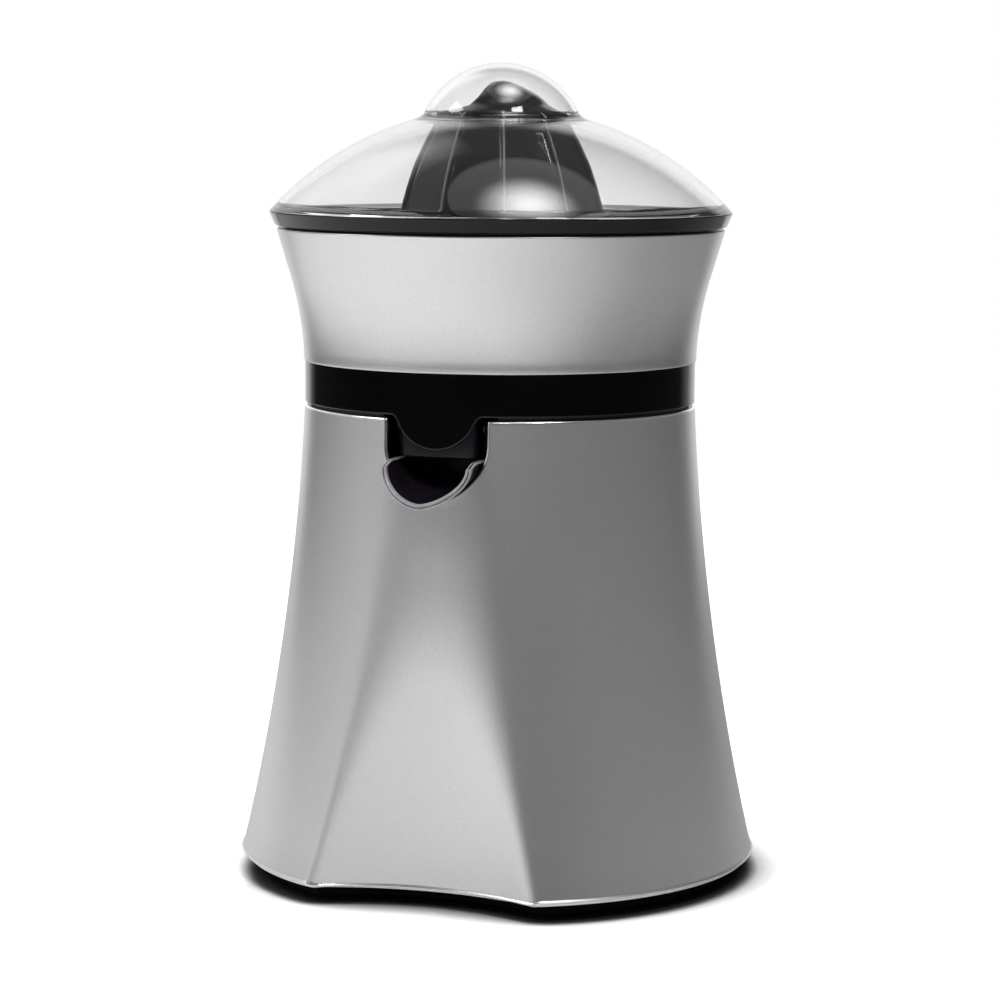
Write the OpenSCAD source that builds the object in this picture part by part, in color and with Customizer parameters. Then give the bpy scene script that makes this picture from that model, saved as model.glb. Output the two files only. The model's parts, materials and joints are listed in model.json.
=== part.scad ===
// Citrus press juicer: a motor base with a lift-off juice bowl, strainer, ribbed reamer and clear domed lid.
// Millimetres, +Z up, the origin on the reamer shaft's axis at table level, the spout towards -Y.

/* [Motor housing] */
// Height of the housing's top edge
housing_top = 174.4; // [173:0.1:174.8]
// Height of the housing's lower edge
housing_low = 6; // [5:0.5:7]
// Radius at the top edge
housing_top_r = 72.7; // [72.3:0.1:73.3]
// Outward slope just below the top edge
housing_lean = 0.0483; // [0.045:0.001:0.05]
// Growth of that slope per millimetre further down
housing_flare = 0.00055; // [0.0005:0.00001:0.0006]
// Wall thickness
housing_wall = 2.4; // [2:0.1:2.8]
// Radius of the upright hollow that a glass stands against
scoop_r = 86; // [82:1:90]
// Distance from the shaft's axis to the deepest line of that hollow
scoop_reach = 76; // [75.5:0.5:77]
// Radius of the round end of the spout's notch
notch_r = 19; // [18.8:0.1:19.5]
// Height of the centre of that round end
notch_z = 161; // [160:0.5:162]

/* [Bowl and skirt] */
// Lower edge of the black waist band
band_low = 175.5; // [175.2:0.1:176]
// Upper edge of the waist band, where the skirt starts
band_top = 190.4; // [189:0.2:192]
// Radius of the waist band
band_r = 72.4; // [72.1:0.1:72.6]
// Radius of the curve that flares the skirt
skirt_curve = 122; // [117:1:126]
// Height where that curve turns straight
skirt_bend = 224; // [222:1:226]
// Upper edge of the skirt
skirt_top = 239.2; // [239:0.1:239.3]
// Outer radius of the bowl's rim
rim_r = 85.6; // [85:0.1:86]
// Height of the top of the rim
rim_top = 245.2; // [245.1:0.1:245.6]

/* [Spout] */
// Outer radius of the trough
spout_r = 18; // [17.6:0.1:18.2]
// Wall thickness of the trough
spout_wall = 1.8; // [1.5:0.1:2.2]
// Distance from the shaft's axis to the lowest point of the lip
spout_reach = 90; // [86:0.5:91]
// Angle by which the lip leans back from upright
lip_slant = 30; // [20:1:34]
// Height of the trough's top edges
spout_edge = 159.2; // [158.6:0.2:159.6]
// Angle by which the trough narrows towards its lip
spout_taper = 11.6; // [9:0.2:13]

/* [Reamer and lid] */
// Height of the reamer's tip
reamer_tip = 293.5; // [291:0.5:294]
// Radius of the reamer at its flange
reamer_r = 40; // [38:0.5:41]
// Number of ribs on the reamer
rib_count = 10; // [8:2:12]
// Radius of the lid's wide cap
lid_r = 114.5; // [114:0.5:115]
// Radius of the lid's small dome
dome_r = 31.4; // [31:0.1:32]
// Height of the top of the lid
lid_top = 300; // [299.6:0.1:300.4]
// Wall thickness of the lid
lid_wall = 2.2; // [1.8:0.1:2.4]

/* [Drive] */
// Distance from the reamer shaft to the motor's axis
motor_y = 38; // [37:0.5:39]
// Teeth of both small pinions
pinion_teeth = 12; // [12:1:12]
// Teeth of the first large gear
idler_teeth = 60; // [60:1:60]
// Teeth of the output gear
output_teeth = 48; // [48:1:48]
// Module of the first gear pair
fine_module = 0.8; // [0.8:0.1:0.8]
// Module of the second gear pair
coarse_module = 1.25; // [1.25:0.05:1.25]
// Downward travel of the shaft that starts the motor
press_travel = 3; // [2:0.5:3]

/* [Hidden] */
$fn = 96;

steps = 14;             // straight pieces in a long curved outline
silver = "silver";
black = "#1b1b1d";
steel = "#b8bcc0";
eps = 0.01;

// Underside
plate_low = 1.5;        // underside of the base plate
plate_top = 9;
plate_r = 88;           // the plate below the housing's edge stands back from it
foot_r = 8;
foot_ring_r = 74;
foot_top = 4.5;
foot_angles = [48, 132, 228, 312];
base_screw_angles = [-10, 60, 120, 190];
base_screw_ring_r = 80;
base_boss_r = 4.5;
base_boss_top = 33;
cover_screw_angles = [30, 150, 210, 330];
cover_screw_ring_r = 61;

// Cord inlet at the rear
gland_z = 24;
gland_neck_r = 6;
gland_flange_r = 8;
gland_bore_r = 3.6;
gland_in_y = 84;
gland_out_y = 97;
gland_flange = 2.4;     // thickness of its outer flange

// Terminal block between the rear screws
terminal_low = [-12, 66];
terminal_high = [12, 76];
terminal_height = 12;

// Deck that closes the top of the housing
deck_low = 164;
deck_top = 166.5;
deck_r = 70.1;
deck_rim_top = 183.8;
deck_rim_r = 69.8;
deck_rim_wall = 3;
lug_depth = 11;         // how far the screw lugs hang below the deck
bay_half = 21.5;        // half width of the pocket that clears the spout
bay_back = 45;
bay_floor = 139.5;
bay_wall = 2;
chimney_r = 12.2;
chimney_bore_r = 9.5;
chimney_top = 206;

// Gearbox
gearbox_low = 118;
gearbox_floor = 121;
gearbox_top = 149;
gearbox_lid_top = 152;
gearbox_wall = 2.3;
hub_r = 9;
running = 0.06;         // radial clearance of a running fit
fine_distance = fine_module * (pinion_teeth + idler_teeth) / 2;
coarse_distance = coarse_module * (pinion_teeth + output_teeth) / 2;
idler_y = (pow(coarse_distance, 2) - pow(fine_distance, 2) + pow(motor_y, 2)) / (2 * motor_y);
idler_x = sqrt(pow(coarse_distance, 2) - pow(idler_y, 2));
idler_pin_r = 2.5;
gearbox_screw_spots = [[-27, -27], [27, -27], [-27, 27], [49.5, 5]];
gearbox_post_r = 4;

// Gears
fine_low = 124;         // the idler's large gear
fine_high = 130;
coarse_high = 142;      // top of the idler's pinion
output_low = 133;
output_high = 140;
pinion_low = 123;       // the motor's pinion
pinion_high = 131;
idler_hub = [122.2, 148.2];
output_hub = [118.3, 151.5];
tooth_tip = 0.3;        // half widths of a tooth, in modules
tooth_root = 0.98;
tip_height = 0.85;
root_depth = 1.2;

// Direction from the idler to each neighbour, and the turns that put a tooth into a gap there
to_motor = atan2(motor_y - idler_y, -idler_x);
to_output = atan2(-idler_y, -idler_x);
idler_phase = to_motor;                                     // a tooth points at the motor pinion
motor_phase = to_motor + 180 + 180 / pinion_teeth;          // where the motor pinion has a gap
pinion_phase = to_output;                                   // a tooth points at the output gear
output_phase = to_output + 180 + 180 / output_teeth;        // where the output gear has a gap

// Shaft
hex_r = 5;              // corner radius of the shaft's hexagons
hex_play = 0.15;
journal_r = 4;
shaft_low = 92;
journal_top = 100;
round_low = 158;        // the shaft is round between these heights, where it passes its bush
round_top = 208;
shaft_top = 236;
guide_r = 10;
cap_r = 7.5;
cap_low = 86;
cap_high = 98;
spring_low = 62;
spring_turns = 5;
spring_r = 5.2;
spring_wire_r = 0.6;
rings_per_turn = 14;
wire_sides = 6;
plunger_y = -17;
plunger_r = 1.5;
plunger_low = 74;
plunger_high = 86.2;
switch_top = 78;

// Motor
motor_r = 27;
motor_shaft_r = 3;
motor_shaft_low = 41;
motor_shaft_top = 131.5;
core_low = 70;
core_top = 100;
stator_bore_r = 15;
rotor_r = 14.4;
bearing_r = 8;
upper_bearing = [108, 113.5];
lower_bearing = [56, 62];
brush_low = 64;
brush_high = 68;
motor_bolt_r = 21;      // distance of the bolts from the motor's axis
fan_r = 20;
fan_low = 42;
fan_disc = [49, 50.5];

// Bowl
bowl_floor = 188;
bowl_under = 184;
bowl_wall = 2.2;
skirt_wall = 1.5;
ledge_z = 243.9;
bowl_chimney_r = 16.4;
bowl_chimney_bore_r = 14;
bowl_chimney_top = 214;
chute_half = 14;
chute_wall = 2;
chute_low = 166;
chute_front = 70;
chute_back = 50;
tongue_r = 15;
tongue_z = 179;
strainer_r = 81.5;
strainer_z = 230;       // underside of its floor
collar_low = 208;       // its collar reaches down over the bowl's chimney
slot_count = 36;

// Reamer
reamer_low = 239;
flange_low = 236;
flange_r = 42;
hub_low = 210;
hub_top = 264;
rib_width = 5;
core_share = 0.88;      // radius between the ribs as a share of the radius over them

// Lid
cap_z = 169.4;          // centre of its wide cap
dome_wall = 3;          // wall thickness of its small dome

// Spout pivot
pivot_y = -57;
pivot_z = 170.5;
pivot_r = 2.5;
ear_in = 15;
ear_out = 18;
spout_back = 50.5;
spout_bend = 71;        // the trough narrows in front of this
taper_drop = 0.3;       // how far the narrowing cone's lowest line is below the trough's
ear_r = 5;

// ---------- outlines ----------

function housing_r(z) = housing_top_r + housing_lean * (housing_top - z)
    + housing_flare * pow(housing_top - z, 2);

function skirt_r(z) = z < skirt_bend
    ? band_r + 0.2 + skirt_curve - sqrt(pow(skirt_curve, 2) - pow(z - 187, 2))
    : skirt_r(skirt_bend - eps) + 0.298 * (z - skirt_bend);

// Radius over the reamer's ribs at a height
function reamer_r_at(z) = reamer_r * lookup((z - reamer_low) / (reamer_tip - reamer_low),
    [[0, 1], [0.165, 0.96], [0.303, 0.905], [0.437, 0.841], [0.56, 0.759], [0.697, 0.657], [0.774, 0.587],
     [0.837, 0.483], [0.888, 0.363], [0.939, 0.239], [0.983, 0.115], [1, 0]]);

// Heights from one level to another in equal steps
function levels(from, to, count = steps) = [for (i = [0 : count]) from + (to - from) * i / count];

// Half outline of the upper part of a sphere, from one radius in to another
function cap_arc(radius, centre_z, from_r, to_r, count = steps) =
    let(a = asin(from_r / radius), b = asin(to_r / radius))
    [for (i = [0 : count]) let(t = a + (b - a) * i / count) [radius * sin(t), centre_z + radius * cos(t)]];

// ---------- shared shapes ----------

module housing_form(inset, low, high) {
    rotate_extrude()
        polygon(concat([[0, low]], [for (z = levels(low, high)) [housing_r(z) - inset, z]], [[0, high]]));
}

module scoop(grow) {
    translate([0, -scoop_reach - scoop_r, -5]) cylinder(h = 300, r = scoop_r + grow);
}

module tube(outer, bore, low, high) {
    translate([0, 0, low]) difference() {
        cylinder(h = high - low, r = outer);
        translate([0, 0, -1]) cylinder(h = high - low + 2, r = bore);
    }
}

module block(low, high) {
    translate(low) cube(high - low);
}

module around(angles, ring_r) {
    for (a = angles) rotate(a) translate([ring_r, 0, 0]) children();
}

// A cylinder-head screw that points up, with its head's outer face at z = 0
module screw(length, shank_r = 1.5, head_r = 3.2, head_h = 2) {
    cylinder(h = head_h, r = head_r);
    translate([0, 0, head_h - eps]) cylinder(h = length - head_h, r = shank_r);
}

// Straight-flanked spur gear outline
module gear_outline(teeth, m) {
    pitch_r = teeth * m / 2;
    tip_r = pitch_r + tip_height * m;
    root_r = pitch_r - root_depth * m;
    polygon([for (i = [0 : teeth - 1], k = [0 : 3])
        let(side = k < 2 ? -1 : 1, r = k == 0 || k == 3 ? root_r : tip_r,
            half = (k == 0 || k == 3 ? tooth_root : tooth_tip) * m,
            a = 360 * i / teeth + side * asin(half / r))
        [r * cos(a), r * sin(a)]]);
}

module gear(teeth, m, low, high) {
    translate([0, 0, low]) linear_extrude(high - low) gear_outline(teeth, m);
}

module rod(r, low, high) {
    translate([0, 0, low]) cylinder(h = high - low, r = r);
}

module hexagon(r, low, high) {
    translate([0, 0, low]) linear_extrude(high - low) circle(r = r, $fn = 6);
}

// ---------- motor base ----------

module housing_shell() {
    difference() {
        intersection() {
            housing_form(0, housing_low, housing_top);
            union() {
                translate([0, 0, housing_low]) cylinder(h = 2.5, r1 = 94.6, r2 = 96.2);
                translate([0, 0, housing_low + 2.5 - eps]) cylinder(h = 200, r = 120);
            }
        }
        scoop(0);
        difference() {
            housing_form(housing_wall, housing_low - 1, housing_top + 1);
            scoop(housing_wall);
        }
    }
}

// Solid wherever the inside of the housing is
module housing_inside(inset) {
    difference() {
        housing_form(housing_wall + inset, housing_low - 1, housing_top);
        scoop(housing_wall + inset);
    }
}

module lower_housing() {
    color(silver) difference() {
        union() {
            housing_shell();
            // ledge and lugs that carry the deck
            intersection() {
                housing_inside(-0.4);
                union() {
                    tube(90, deck_r - 2.6, deck_low - 4, deck_low);
                    around(cover_screw_angles, cover_screw_ring_r) {
                        rod(4.5, deck_low - lug_depth, deck_low);
                        block([0, -2, deck_low - lug_depth], [20, 2, deck_low]);
                    }
                }
            }
            // screw bosses for the base plate
            intersection() {
                housing_inside(-0.4);
                around(base_screw_angles, base_screw_ring_r) {
                    rod(base_boss_r, plate_top, base_boss_top);
                    block([0, -1.5, plate_top], [20, 1.5, base_boss_top]);
                }
            }
        }
        around(base_screw_angles, base_screw_ring_r) rod(1.6, plate_top - 1, base_boss_top - 6);
        around(cover_screw_angles, cover_screw_ring_r) rod(1.6, deck_low - lug_depth + 1, deck_low + 1);
        // the spout's notch, open at the top
        translate([0, -50, notch_z]) rotate([90, 0, 0]) cylinder(h = 50, r = notch_r);
        block([-notch_r, -100, notch_z], [notch_r, -50, housing_top + 1]);
        // room for the deck's pocket in the ledge
        block([-bay_half - 3, -69, deck_low - 20], [bay_half + 3, -40, deck_low + 1]);
        // cord inlet
        translate([0, 80, gland_z]) rotate([-90, 0, 0]) cylinder(h = 30, r = gland_neck_r + 0.2);
    }
}

module cord_gland() {
    color(black) translate([0, 0, gland_z]) rotate([-90, 0, 0]) difference() {
        union() {
            rod(gland_neck_r, gland_in_y, gland_out_y - 1);
            rod(gland_flange_r, gland_in_y, gland_in_y + 3);
            translate([0, 0, gland_out_y - gland_flange])
                cylinder(h = gland_flange, r1 = gland_flange_r + 0.4, r2 = gland_flange_r - 0.4);
        }
        rod(gland_bore_r, gland_in_y - 1, gland_out_y + 1);
    }
}

module base_plate() {
    color(black) difference() {
        union() {
            difference() {
                translate([0, 0, plate_low]) cylinder(h = housing_low - plate_low, r = plate_r);
                scoop(housing_wall + 6);
            }
            intersection() {
                difference() {
                    housing_form(housing_wall + 0.3, housing_low - 1, plate_top + 20);
                    scoop(housing_wall + 0.3);
                }
                tube(120, 0.5, housing_low - eps, plate_top);
            }
        }
        // recess that leaves a raised edge around the inside
        difference() {
            translate([0, 0, housing_low]) cylinder(h = 10, r = plate_r - 3);
            scoop(housing_wall + 9);
            around(base_screw_angles, base_screw_ring_r) cylinder(h = 30, r = 6);
        }
        around(foot_angles, foot_ring_r) rod(foot_r + 0.3, plate_low - 1, foot_top);
        around(base_screw_angles, base_screw_ring_r) {
            rod(1.8, -1, 30);
            rod(3.6, -1, 4.5);
        }
        // cooling slots under the motor
        for (i = [-4 : 4]) block([-20, motor_y + i * 6 - 1.5, -1], [20, motor_y + i * 6 + 1.5, 30]);
    }
}

module rubber_feet() {
    color("#2a2a2a") around(foot_angles, foot_ring_r) {
        cylinder(h = 1, r1 = foot_r - 1, r2 = foot_r);
        translate([0, 0, 1 - eps]) cylinder(h = foot_top - 1 + eps, r = foot_r);
    }
}

module base_screws() {
    color(steel) around(base_screw_angles, base_screw_ring_r) translate([0, 0, 2.5]) screw(20);
}

module cover_screws() {
    color(steel) around(cover_screw_angles, cover_screw_ring_r)
        translate([0, 0, deck_top + 2]) rotate([180, 0, 0]) screw(14);
}

module motor_cover() {
    color(black) difference() {
        union() {
            translate([0, 0, deck_low]) cylinder(h = deck_top - deck_low, r = deck_r);
            tube(deck_rim_r, deck_rim_r - deck_rim_wall, deck_low, deck_rim_top);
            translate([0, 0, deck_low]) cylinder(h = chimney_top - deck_low, r = chimney_r);
            // pocket that clears the spout
            intersection() {
                housing_form(housing_wall + 0.3, bay_floor - 10, deck_top);
                block([-bay_half - bay_wall, -90, bay_floor - bay_wall],
                      [bay_half + bay_wall, -bay_back + bay_wall, deck_top]);
            }
            // posts that hold the gearbox
            for (p = gearbox_screw_spots) translate([p[0], p[1], 0])
                rod(gearbox_post_r, gearbox_lid_top + 2.2, deck_low + eps);
        }
        block([-bay_half, -90, bay_floor], [bay_half, -bay_back, deck_rim_top + 1]);
        translate([0, 0, deck_low - 1]) cylinder(h = 60, r = chimney_bore_r);
        around(cover_screw_angles, cover_screw_ring_r) rod(1.8, deck_low - 1, deck_top + 1);
    }
}

module upper_shaft_bush() {
    color("#c8a050") tube(chimney_bore_r, hex_r + 0.05, chimney_top - 10, chimney_top - 2.5);
}

module shaft_seal() {
    color("#303030") tube(chimney_bore_r, hex_r + 0.4, chimney_top - 2.4, chimney_top);
}

// ---------- gearbox ----------

module gearbox_plan(grow, low, high) {
    translate([0, 0, low]) {
        cylinder(h = high - low, r = 32.4 + grow);
        translate([idler_x, idler_y, 0]) cylinder(h = high - low, r = 25.4 + grow);
        translate([0, motor_y, 0]) cylinder(h = high - low, r = 15 + grow);
    }
}

module gearbox_base() {
    color("#d8d8d0") difference() {
        union() {
            difference() {
                gearbox_plan(gearbox_wall, gearbox_low, gearbox_top);
                gearbox_plan(0, gearbox_floor, gearbox_top + 1);
            }
            for (p = gearbox_screw_spots) translate([p[0], p[1], 0])
                difference() {
                    rod(gearbox_post_r, gearbox_low, gearbox_top);
                    rod(1.6, gearbox_low + 16, gearbox_top + 1);
                }
            // seat of the idler pin
            translate([idler_x, idler_y, 0]) rod(5, gearbox_floor - eps, gearbox_floor + 1);
        }
        rod(hub_r + running, gearbox_low - 1, gearbox_floor + 2);
        translate([0, motor_y, 0]) rod(7, gearbox_low - 1, gearbox_floor + 2);
        translate([idler_x, idler_y, 0]) rod(idler_pin_r, gearbox_low + 0.5, gearbox_floor + 2);
    }
}

module gearbox_cover() {
    color("#d8d8d0") difference() {
        union() {
            gearbox_plan(gearbox_wall, gearbox_top, gearbox_lid_top);
            for (p = gearbox_screw_spots) translate([p[0], p[1], 0])
                rod(gearbox_post_r, gearbox_top, gearbox_lid_top);
        }
        rod(hub_r + running, gearbox_top - 1, gearbox_lid_top + 1);
        translate([idler_x, idler_y, 0]) rod(idler_pin_r, gearbox_top - 1, gearbox_top + 1.5);
        for (p = gearbox_screw_spots) translate([p[0], p[1], 0])
            rod(1.6, gearbox_top - 1, gearbox_lid_top + 1);
    }
}

module gearbox_screws() {
    color(steel) for (p = gearbox_screw_spots)
        translate([p[0], p[1], gearbox_lid_top + 2]) rotate([180, 0, 0]) screw(18);
}

module idler_pin() {
    color(steel) translate([idler_x, idler_y, 0]) rod(idler_pin_r, gearbox_low + 0.5, gearbox_top + 1.5);
}

module idler_gear() {
    color("#f0f0e8") translate([idler_x, idler_y, 0]) difference() {
        union() {
            rotate(idler_phase) gear(idler_teeth, fine_module, fine_low, fine_high);
            rotate(pinion_phase) gear(pinion_teeth, coarse_module, fine_high - eps, coarse_high);
            rod(5, idler_hub[0], idler_hub[1]);
        }
        rod(idler_pin_r + running, idler_hub[0] - 1, idler_hub[1] + 1);
    }
}

module output_gear() {
    color("#f0f0e8") difference() {
        union() {
            rotate(output_phase) gear(output_teeth, coarse_module, output_low, output_high);
            rod(hub_r, output_hub[0], output_hub[1]);
        }
        hexagon(hex_r + hex_play, output_hub[0] - 1, output_hub[1] + 1);
    }
}

// ---------- shaft, press switch ----------

module drive_shaft() {
    color(steel) {
        rod(journal_r, shaft_low, journal_top + eps);
        hexagon(hex_r, journal_top, round_low);
        rod(hex_r, round_low - eps, round_top);
        hexagon(hex_r, round_top - eps, shaft_top);
    }
}

module thrust_cap() {
    color("#e8e4d8") difference() {
        union() {
            rod(cap_r, cap_low, cap_high);
            // finger that works the switch
            block([-2.5, -20, cap_low + 0.5], [2.5, -5, cap_low + 4]);
        }
        rod(journal_r + 0.05, shaft_low, cap_high + 1);
    }
}

module thrust_guide() {
    color("#202020") difference() {
        union() {
            rod(guide_r, spring_low - 2, gearbox_low);
            block([-14, -14, gearbox_low - 3], [14, 9, gearbox_low]);
            // shelf under the switch
            block([-4, -26, spring_low - 2], [4, -5, spring_low + 2]);
        }
        rod(cap_r + 0.08, spring_low, gearbox_low + 1);
        block([-3.5, -16, cap_low - press_travel - 2], [3.5, 0, gearbox_low + 1]);
    }
}

// A coil spring swept as one closed solid
module return_spring() {
    rings = spring_turns * rings_per_turn;
    low = spring_low + spring_wire_r;
    pitch = (cap_low - spring_low - 2 * spring_wire_r) / spring_turns;
    points = [for (i = [0 : rings], k = [0 : wire_sides - 1])
        let(a = 360 * i / rings_per_turn, b = 360 * k / wire_sides,
            r = spring_r + spring_wire_r * cos(b), z = low + pitch * i / rings_per_turn)
        [r * cos(a), r * sin(a), z + spring_wire_r * sin(b)]];
    sides = [for (i = [0 : rings - 1], k = [0 : wire_sides - 1])
        let(n = (k + 1) % wire_sides, p = i * wire_sides, q = p + wire_sides)
        [p + k, q + k, q + n, p + n]];
    caps = [[for (k = [0 : wire_sides - 1]) k],
        [for (k = [0 : wire_sides - 1]) rings * wire_sides + wire_sides - 1 - k]];
    color(steel) polyhedron(points, concat(sides, caps));
}

module microswitch() {
    color("#303030") difference() {
        block([-3.2, -25, spring_low + 2], [3.2, -11.5, switch_top]);
        translate([0, plunger_y, 0]) rod(plunger_r + 0.05, plunger_low - 4, switch_top + 1);
    }
}

module switch_plunger() {
    color("#c03030") translate([0, plunger_y, 0]) rod(plunger_r, plunger_low, plunger_high);
}

// ---------- motor ----------

module at_motor() {
    translate([0, motor_y, 0]) children();
}

// A cup with a bearing seat, air holes and two bolt holes: each pair is a lower and an upper height
module bracket(disc, skirt, hub) {
    low = min(disc[0], hub[0]) - 1;
    difference() {
        union() {
            rod(motor_r, disc[0], disc[1]);
            tube(motor_r, motor_r - 2.2, skirt[0], skirt[1]);
            rod(10, hub[0], hub[1]);
        }
        rod(bearing_r, low, low + 30);
        around([45, 135, 225, 315], 17) rod(4, min(disc[0], skirt[0]) - 1, disc[1] + 30);
        around([0, 180], motor_bolt_r) rod(1.6, disc[0] - 1, disc[0] + 7);
    }
}

module upper_motor_bracket() {
    color(steel) at_motor() bracket([114, gearbox_low], [core_top, 115], [upper_bearing[0], 115]);
}

module lower_motor_bracket() {
    color(steel) at_motor() bracket([54, 58], [57, core_low], [57, 63]);
}

module motor_bearings() {
    color("#c8a050") at_motor() {
        tube(bearing_r, motor_shaft_r + 0.03, upper_bearing[0], upper_bearing[1]);
        tube(bearing_r, motor_shaft_r + 0.03, lower_bearing[0], lower_bearing[1]);
    }
}

module stator_core() {
    color("#70747a") at_motor() tube(motor_r, stator_bore_r, core_low, core_top);
}

module field_coils() {
    color("#b5652b") at_motor() for (z = [core_low - 7, core_top]) translate([0, 0, z]) rotate_extrude()
        translate([19.5, 3.5]) intersection() {
            circle(r = 3.9);
            square([7, 7], center = true);
        }
}

module carbon_brushes() {
    color("#404040") at_motor() around([0, 180], 9.2) block([0, -2, brush_low], [5.3, 2, brush_high]);
}

module motor_bolts() {
    color(steel) at_motor() around([0, 180], motor_bolt_r) translate([0, 0, 52]) screw(5.5, 1.5, 2.8);
}

module motor_shaft() {
    color(steel) at_motor() rod(motor_shaft_r, motor_shaft_low, motor_shaft_top);
}

module rotor_core() {
    color("#8a8d92") at_motor() difference() {
        tube(rotor_r, motor_shaft_r, core_low, core_top);
        for (a = [0 : 30 : 330]) rotate(a) block([12.6, -0.8, core_low - 1], [16, 0.8, core_top + 1]);
    }
}

module commutator() {
    color("#b06a30") at_motor() tube(9, motor_shaft_r, brush_low - 0.5, brush_high + 1);
}

module motor_pinion() {
    color("#c8a050") at_motor() difference() {
        rotate(motor_phase) gear(pinion_teeth, fine_module, pinion_low, pinion_high);
        rod(motor_shaft_r, pinion_low - 1, pinion_high + 1);
    }
}

module cooling_fan() {
    color("#303030") at_motor() {
        tube(fan_r, motor_shaft_r, fan_disc[0], fan_disc[1]);
        tube(7, motor_shaft_r, fan_low, fan_disc[0] + eps);
        for (a = [0 : 40 : 320]) rotate(a)
            block([6, -0.8, fan_low + 1], [fan_r - 0.5, 0.8, fan_disc[0] + eps]);
    }
}

module terminal_block() {
    color("#e0dcd0") difference() {
        block(concat(terminal_low, [housing_low]), concat(terminal_high, [housing_low + terminal_height]));
        for (s = [-1, 1]) translate([s * terminal_high[0] / 2, (terminal_low[1] + terminal_high[1]) / 2, 0])
            rod(2, housing_low + terminal_height / 2, housing_low + terminal_height + 1);
    }
}

// ---------- bowl and what stands on it ----------

module juice_bowl() {
    outer = [for (z = levels(band_top + 0.2, skirt_top - 0.6)) [skirt_r(z) - skirt_wall - 0.1, z]];
    inner = [for (z = levels(skirt_top - 0.3, bowl_floor + 8)) [skirt_r(z) - skirt_wall - bowl_wall, z]];
    color(black) difference() {
        union() {
            rotate_extrude() polygon(concat(
                [[band_r - 2.4, band_low], [band_r, band_low], [band_r, band_top]],
                outer,
                [[skirt_r(skirt_top) - skirt_wall - 0.1, skirt_top + 0.3],
                 [skirt_r(skirt_top) - 0.5, skirt_top + 0.3], [skirt_r(skirt_top) - 0.5, skirt_top + 0.9],
                 [skirt_r(skirt_top) + 0.6, skirt_top + 1.5], [rim_r, rim_top],
                 [rim_r - 2, rim_top], [rim_r - 2, ledge_z], [strainer_r - 1.9, ledge_z]],
                inner,
                [[66, bowl_floor + 1], [62, bowl_floor], [bowl_chimney_r, bowl_floor],
                 [bowl_chimney_r, bowl_chimney_top], [bowl_chimney_bore_r, bowl_chimney_top],
                 [bowl_chimney_bore_r, bowl_under], [band_r - 2.4, bowl_under]]));
            // outlet chute
            intersection() {
                block([-chute_half, -chute_front, chute_low], [chute_half, -chute_back, bowl_under + 1]);
                cylinder(h = 300, r = band_r - 2);
            }
            // tongue that hangs over the spout
            intersection() {
                tube(band_r, band_r - 2.4, band_low - 15, band_low + 1);
                translate([0, -50, tongue_z]) rotate([90, 0, 0]) cylinder(h = 50, r = tongue_r);
            }
        }
        block([-chute_half + chute_wall, -chute_front + chute_wall, chute_low - 1],
              [chute_half - chute_wall, -chute_back - chute_wall, bowl_floor + 3]);
        translate([-30, pivot_y, pivot_z]) rotate([0, 90, 0]) cylinder(h = 60, r = pivot_r);
    }
}

module upper_skirt() {
    outer = [for (z = levels(band_top + 0.2, skirt_top)) [skirt_r(z), z]];
    inner = [for (z = levels(skirt_top, band_top + 0.2)) [skirt_r(z) - skirt_wall, z]];
    color(silver) rotate_extrude() polygon(concat(outer, inner));
}

module strainer() {
    color(black) difference() {
        rotate_extrude() polygon([[strainer_r, ledge_z], [strainer_r, ledge_z + 1.2], [76.5, ledge_z + 1.2],
            [71.5, strainer_z + 2], [20, strainer_z + 2], [19, strainer_z + 3], [17, strainer_z + 3],
            [17, collar_low], [18.6, collar_low], [18.6, strainer_z], [72.5, strainer_z], [77.6, ledge_z]]);
        for (i = [0 : slot_count - 1]) rotate(360 * i / slot_count) {
            block([24, -0.9, strainer_z - 1], [40, 0.9, strainer_z + 4]);
            block([44, -1.3, strainer_z - 1], [68, 1.3, strainer_z + 4]);
        }
    }
}

module reamer() {
    outline = [for (z = levels(reamer_low, reamer_tip, 16)) [reamer_r_at(z), z]];
    back = [for (k = [len(outline) - 1 : -1 : 0]) [-outline[k][0], outline[k][1]]];
    color(black) difference() {
        union() {
            rod(flange_r, flange_low, reamer_low);
            rotate_extrude() polygon(concat([[0, reamer_low - 2]],
                [for (p = outline) [p[0] * core_share, p[1]]]));
            for (i = [0 : ceil(rib_count / 2) - 1]) rotate([90, 0, 360 * i / rib_count])
                linear_extrude(rib_width, center = true) polygon(concat(outline, back));
        }
        // hollow underneath
        rotate_extrude() polygon([[0, flange_low - 1], [34, flange_low - 1], [31, 243], [27, 262], [0, 262]]);
    }
    color(black) difference() {
        rod(hub_r, hub_low, hub_top);
        hexagon(hex_r + 0.2, hub_low - 1, shaft_top + 1.5);
    }
}

module spout_pins() {
    color(steel) for (s = [-1, 1]) translate([s * 15.3, pivot_y, pivot_z]) rotate([0, 90, 0])
        cylinder(h = 6.4, r = pivot_r, center = true);
}

// Round bar whose sides narrow at the front while its bottom stays level
module trough_form(r, back) {
    intersection() {
        translate([0, -back, notch_z]) rotate([90, 0, 0]) cylinder(h = 50, r = r);
        translate([0, -spout_bend, notch_z - r * (1 - cos(spout_taper)) - taper_drop])
            rotate([90 + spout_taper, 0, 0]) translate([0, 0, -40])
            cylinder(h = 70, r1 = r + 40 * tan(spout_taper), r2 = r - 30 * tan(spout_taper));
    }
}

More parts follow.
